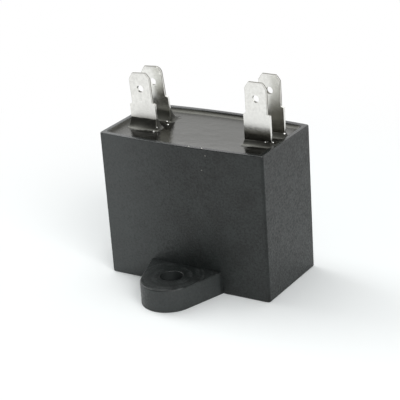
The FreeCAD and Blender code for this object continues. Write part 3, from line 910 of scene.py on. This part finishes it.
def resin_height(x, y, feet):
    """Height of the resin's surface, with its menisci at the walls and blades.

    Where menisci meet, their heights add up as cubes, so that the highest one leads.
    """
    front, rear = resin_limits(x)
    at_side = wall_climb(min(y - front, rear - y), WALL_TOE)
    at_end = wall_climb(case_half_length(RESIN_LEVEL, WALL) - abs(x),
                        LEFT_END_TOE if x < 0 else WALL_TOE)
    climbs = [min(math.hypot(at_side, at_end), WALL_CLIMB_LIMIT)]
    for middle, across, rise, reach in feet:
        climbs.append(collar_climb(distance_to_foot(x, y, middle, across), rise, reach))
    height = sum(c ** 3 for c in climbs) ** (1 / 3)
    for bubble_x, bubble_y, radius, lip in BUBBLES:
        lip_width = BUBBLE_LIP_SHARE * radius + BUBBLE_LIP_WIDTH
        gap = (math.hypot(x - bubble_x, y - bubble_y) - radius) / lip_width
        height += lip * math.exp(-gap * gap)
    return RESIN_LEVEL + height


def eased_shares(count):
    """Shares from 0 to 1 that crowd towards both ends, where the menisci are."""
    crowding = 0.35
    return [(1 - crowding) * k / count + crowding * (1 - math.cos(math.pi * k / count)) / 2
            for k in range(count + 1)]


def make_resin(material):
    """The cast resin: a block in the case whose free surface climbs what it wets."""
    feet = blade_feet()
    half_length = case_half_length(RESIN_LEVEL, WALL)
    columns = [half_length * (2 * share - 1)
               for share in eased_shares(round(2 * half_length / RESIN_STEP))]
    rows = round(CASE_WIDTH / RESIN_STEP)
    shares = eased_shares(rows)
    vertices, faces = [], []
    for x in columns:
        front, rear = resin_limits(x)
        for share in shares:
            y = front + (rear - front) * share
            vertices.append((x, y, resin_height(x, y, feet)))
    width = rows + 1
    for i in range(len(columns) - 1):
        for j in range(rows):
            a = i * width + j
            faces.append((a, a + width, a + width + 1, a + 1))
    edge = [(i, 0) for i in range(len(columns))]
    edge += [(len(columns) - 1, j) for j in range(1, width)]
    edge += [(i, rows) for i in range(len(columns) - 2, -1, -1)]
    edge += [(0, j) for j in range(rows - 1, 0, -1)]
    top = [i * width + j for i, j in edge]
    start = len(vertices)
    vertices += [(*vertices[k][:2], FLOOR) for k in top]
    count = len(top)
    for k in range(count):
        following = (k + 1) % count
        faces.append((top[k], top[following], start + following, start + k))
    faces.append(tuple(range(start, start + count)))
    piece = mesh_object("cast_resin", vertices, faces)
    smooth_faces(piece, sharp_angle=50)
    piece.data.materials.append(material)
    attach(piece, "root")
    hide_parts("potting_resin")


def make_crumbs(material):
    """Pale crumbs of cured resin that stuck to the rim and the front face."""
    vertices, faces = [], []
    corners = len(CRUMB_CORNERS)
    for x, z, size in CRUMBS:
        y = side_y(x, min(z, CASE_HEIGHT), 0.0, -1)
        if z > CASE_HEIGHT - RIM_ROUNDING:
            y += WALL / 3
        start = len(vertices)
        vertices += [(x + across * size, y, z + high * size) for across, high in CRUMB_CORNERS]
        vertices += [(x, y + side * CRUMB_DEPTH * size, z) for side in (1, -1)]
        for k in range(corners):
            following = start + (k + 1) % corners
            faces.append((start + k, following, start + corners))
            faces.append((following, start + k, start + corners + 1))
    piece = mesh_object("resin_crumbs", vertices, faces)
    piece.data.materials.append(material)
    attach(piece, "root")


def make_beads(material):
    """Painted highlights: bright metal beads on the resin at the right ends of the blades' feet."""
    feet = blade_feet()
    vertices, faces = [], []
    bands, sides = 6, 10
    for x, y, size in BEADS:
        z = resin_height(x, y, feet)
        rings = []
        for k in range(1, bands):
            turn = math.pi * k / bands
            radius = size * math.sin(turn)
            rings.append([(x + radius * math.cos(math.tau * j / sides),
                           y + radius * math.sin(math.tau * j / sides),
                           z + size * math.cos(turn)) for j in range(sides)])
        bead_vertices, bead_faces = loft_rings(rings)
        start = len(vertices)
        vertices += bead_vertices
        faces += [tuple(start + k for k in face) for face in bead_faces]
    piece = mesh_object("glint_beads", vertices, faces)
    smooth_faces(piece, sharp_angle=80)
    piece.data.materials.append(material)
    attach(piece, "root")


def finish_inner_pieces():
    """Materials of the pieces that the resin holds."""
    solder = set_solder()
    finishes = {
        "film_winding": metallised_film(),
        "end_spray": sprayed_zinc(),
        "lead": tinned_wire(),
        "lead_sleeve": extruded_pvc(),
        "winding_solder": solder,
        "tab_solder": solder,
    }
    for name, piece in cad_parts.items():
        stem = name.removesuffix("_left").removesuffix("_right")
        if stem in finishes:
            piece.data.materials.clear()
            piece.data.materials.append(finishes[stem])


def make_floor():
    """White sweep that keeps the soft shadow near the object and is plain white further out.

    What mirrors its left part sees it a little brighter.
    """
    size = PAPER_REACH
    mesh = bpy.data.meshes.new("floor")
    mesh.from_pydata([(-size, -size, 0), (size, -size, 0), (size, size, 0), (-size, size, 0)],
                     [], [(0, 1, 2, 3)])
    floor = bpy.data.objects.new("floor", mesh)
    bpy.context.scene.collection.objects.link(floor)
    material, tree, place = new_material("paper_sweep_white")
    rays = add_node(tree, "ShaderNodeLightPath").outputs
    seen = add_node(tree, "ShaderNodeMath", {
        0: rays["Is Camera Ray"], 1: rays["Is Glossy Ray"]}, operation="MAXIMUM")
    distance = add_node(tree, "ShaderNodeVectorMath", {0: place}, operation="LENGTH")
    far = add_node(tree, "ShaderNodeMapRange", {
        "Value": distance.outputs["Value"], "From Min": PAPER_FADE[0] * MM,
        "From Max": PAPER_FADE[1] * MM}, interpolation_type="SMOOTHSTEP")
    blend = add_node(tree, "ShaderNodeMath", {0: far, 1: seen}, operation="MULTIPLY")
    paper = add_node(tree, "ShaderNodeBsdfDiffuse", {"Color": linear("#f2f5f5")})
    axes = add_node(tree, "ShaderNodeSeparateXYZ", {0: place}).outputs
    left = add_node(tree, "ShaderNodeMapRange", {
        "Value": axes["X"], "From Min": PAPER_GLOW_X[0] * MM, "From Max": PAPER_GLOW_X[1] * MM,
        "To Max": PAPER_GLOW}, interpolation_type="SMOOTHSTEP")
    glow = add_node(tree, "ShaderNodeMath", {0: left, 1: rays["Is Glossy Ray"]},
                    operation="MULTIPLY")
    lift = add_node(tree, "ShaderNodeEmission", {"Color": linear("#ffffff"), "Strength": glow})
    lifted = add_node(tree, "ShaderNodeAddShader", {0: paper, 1: lift})
    white = add_node(tree, "ShaderNodeEmission", {"Color": linear("#ffffff")})
    shown = add_node(tree, "ShaderNodeMixShader", {0: blend, 1: lifted, 2: white})
    add_node(tree, "ShaderNodeOutputMaterial", {"Surface": shown})
    floor.data.materials.append(material)


def add_softbox(name, place, target, size, radiance):
    """Softbox turned to its target."""
    data = bpy.data.lights.new(name, "AREA")
    data.shape = "RECTANGLE"
    data.size, data.size_y = size
    data.energy = radiance * math.pi * size[0] * size[1]
    lamp = bpy.data.objects.new(name, data)
    aim = (Vector(target) - Vector(place)).normalized()
    across = Vector((0, 1, 0)).cross(aim).normalized()
    turn = Matrix((across, across.cross(aim), -aim)).transposed()
    lamp.matrix_world = Matrix.Translation(place) @ turn.to_4x4()
    bpy.context.scene.collection.objects.link(lamp)


def light_studio():
    """Softboxes overhead, at the left and at the right front, in a pale room.

    Mirrors see a white backdrop behind the object, and elsewhere a room that is pale near
    the floor and dark above. All else is lit by an even, weaker room.
    """
    for name, values in SOFTBOXES.items():
        add_softbox(name, *values)
    world = bpy.data.worlds.new("studio")
    bpy.context.scene.world = world
    world.use_nodes = True
    tree = world.node_tree
    tree.nodes.clear()
    rays = add_node(tree, "ShaderNodeLightPath").outputs
    direction = add_node(tree, "ShaderNodeTexCoord").outputs["Generated"]
    azimuth = math.radians(CAMERA_AZIMUTH)
    towards_backdrop = (-math.sin(azimuth), math.cos(azimuth), 0.0)
    facing = add_node(tree, "ShaderNodeVectorMath", {0: direction, 1: towards_backdrop},
                      operation="DOT_PRODUCT")
    height = add_node(tree, "ShaderNodeSeparateXYZ", {0: direction}).outputs["Z"]
    rear = add_node(tree, "ShaderNodeMapRange", {
        "Value": facing.outputs["Value"], "From Min": -0.2, "From Max": 0.35},
        interpolation_type="SMOOTHSTEP")
    backdrop = add_node(tree, "ShaderNodeMapRange", {
        "Value": height, "From Min": 0.46, "From Max": 0.8, "To Min": 1.2, "To Max": 1.15},
        interpolation_type="SMOOTHSTEP")
    room = add_node(tree, "ShaderNodeMapRange", {
        "Value": height, "From Min": 0.05, "From Max": 0.22, "To Min": 1.0, "To Max": 0.03},
        interpolation_type="SMOOTHSTEP")
    all_round = add_node(tree, "ShaderNodeMix", {MIX_FACTOR: rear, MIX_A: room, MIX_B: backdrop})
    mirrored = add_node(tree, "ShaderNodeMix", {
        MIX_FACTOR: rays["Is Glossy Ray"], MIX_A: AMBIENT, MIX_B: all_round})
    seen = add_node(tree, "ShaderNodeMath", {
        0: rays["Is Camera Ray"], 1: rays["Is Transmission Ray"]}, operation="MAXIMUM")
    strength = add_node(tree, "ShaderNodeMix", {MIX_FACTOR: seen, MIX_A: mirrored, MIX_B: 1.0})
    background = add_node(tree, "ShaderNodeBackground", {
        "Color": linear("#ffffff"), "Strength": strength})
    add_node(tree, "ShaderNodeOutputWorld", {"Surface": background})


def make_camera():
    """Camera at the photograph's place, angle and field of view."""
    turn = (Matrix.Rotation(math.radians(CAMERA_AZIMUTH), 4, "Z")
            @ Matrix.Rotation(math.radians(90 - CAMERA_ELEVATION), 4, "X")
            @ Matrix.Rotation(math.radians(CAMERA_ROLL), 4, "Z"))
    place = turn @ Vector((*CAMERA_SHIFT, CAMERA_DISTANCE)) + Vector((0, 0, CASE_HEIGHT / 2))
    data = bpy.data.cameras.new("camera")
    data.lens = CAMERA_LENS
    data.sensor_width = SENSOR_WIDTH
    camera = bpy.data.objects.new("camera", data)
    bpy.context.scene.collection.objects.link(camera)
    camera.matrix_world = Matrix.Translation(place * MM) @ turn
    bpy.context.scene.camera = camera


def main():
    """Builds the whole scene."""
    bpy.context.scene.view_settings.view_transform = "Standard"
    make_camera()
    make_floor()
    light_studio()
    make_case(moulded_pbt())
    make_resin(cast_epoxy())
    finishes = (tinned_brass(), sheared_brass(), shaded_back_tin())
    make_double_tab("tab_left", LEFT_TAB, "double_tab_left", finishes)
    make_double_tab("tab_right", RIGHT_TAB, "double_tab_right", finishes)
    make_crumbs(cured_crumb())
    make_beads(set_solder())
    finish_inner_pieces()


main()
